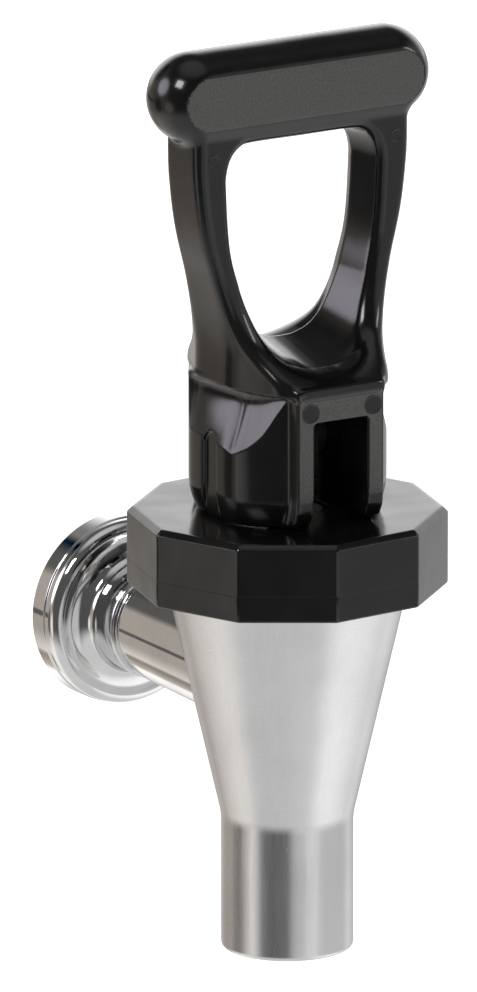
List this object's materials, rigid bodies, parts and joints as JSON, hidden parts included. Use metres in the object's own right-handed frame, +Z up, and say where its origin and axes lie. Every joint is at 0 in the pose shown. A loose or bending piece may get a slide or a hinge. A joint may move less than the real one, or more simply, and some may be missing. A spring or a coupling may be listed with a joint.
{
  "type": "dispenser tap",
  "caption": "Self-closing drink dispenser tap with a tapered barrel, straight spout, stepped inlet flange, faceted bonnet and a lift handle with a round grip bar.",
  "frame": {"origin": "centre of the inlet flange's back face, on the shank's axis", "axes": "+Z up, -Y forward to the spout and the user, +X to the right seen from the front with +Y away"},
  "size_m": [0.0458, 0.0706, 0.1341],
  "materials": {
    "chrome": "bright chrome plate, a little satin on the barrel",
    "black_plastic": "gloss black moulded plastic",
    "stainless": "plain stainless steel",
    "silicone": "translucent white silicone",
    "black_rubber": "matt black rubber",
    "black_acetal": "machined black acetal",
    "white_nylon": "natural nylon"
  },
  "bodies": {
    "faucet": {"faucet_body": "chrome", "inlet_flange": "chrome", "flange_gasket": "black_rubber", "shank_o_ring": "black_rubber", "flange_snap_ring": "stainless", "bonnet": "black_plastic", "slip_ring": "white_nylon", "stem_guide": "white_nylon", "closing_spring": "stainless"},
    "valve": {"seat_plug": "silicone", "stem_boot": "silicone"},
    "stem": {"valve_stem": "black_acetal", "spring_washer": "stainless", "stem_clip": "stainless"},
    "lift_handle": {"handle": "black_plastic", "handle_pin": "black_acetal", "pin_spacers": "black_acetal"}
  },
  "joints": [
    {"name": "valve_lift", "type": "slide", "parent": "faucet", "child": "valve", "axis": [0, 0, 1], "range_m": [0, 0.00346], "stiffness_N_per_m": 980, "springref_m": -0.006, "deforming": ["closing_spring", "stem_boot"]},
    {"name": "handle_swivel", "type": "hinge", "parent": "valve", "child": "stem", "pos_m": [0, -0.0482, 0], "axis": [0, 0, 1], "continuous": true},
    {"name": "handle_tilt", "type": "hinge", "parent": "stem", "child": "lift_handle", "pos_m": [0, -0.0482, 0.0367], "axis": [1, 0, 0], "range_deg": [0, 22]}
  ],
  "couplings": [
    {"joint": "handle_tilt", "follows": "valve_lift", "rad_per_m": 111.11}
  ]
}
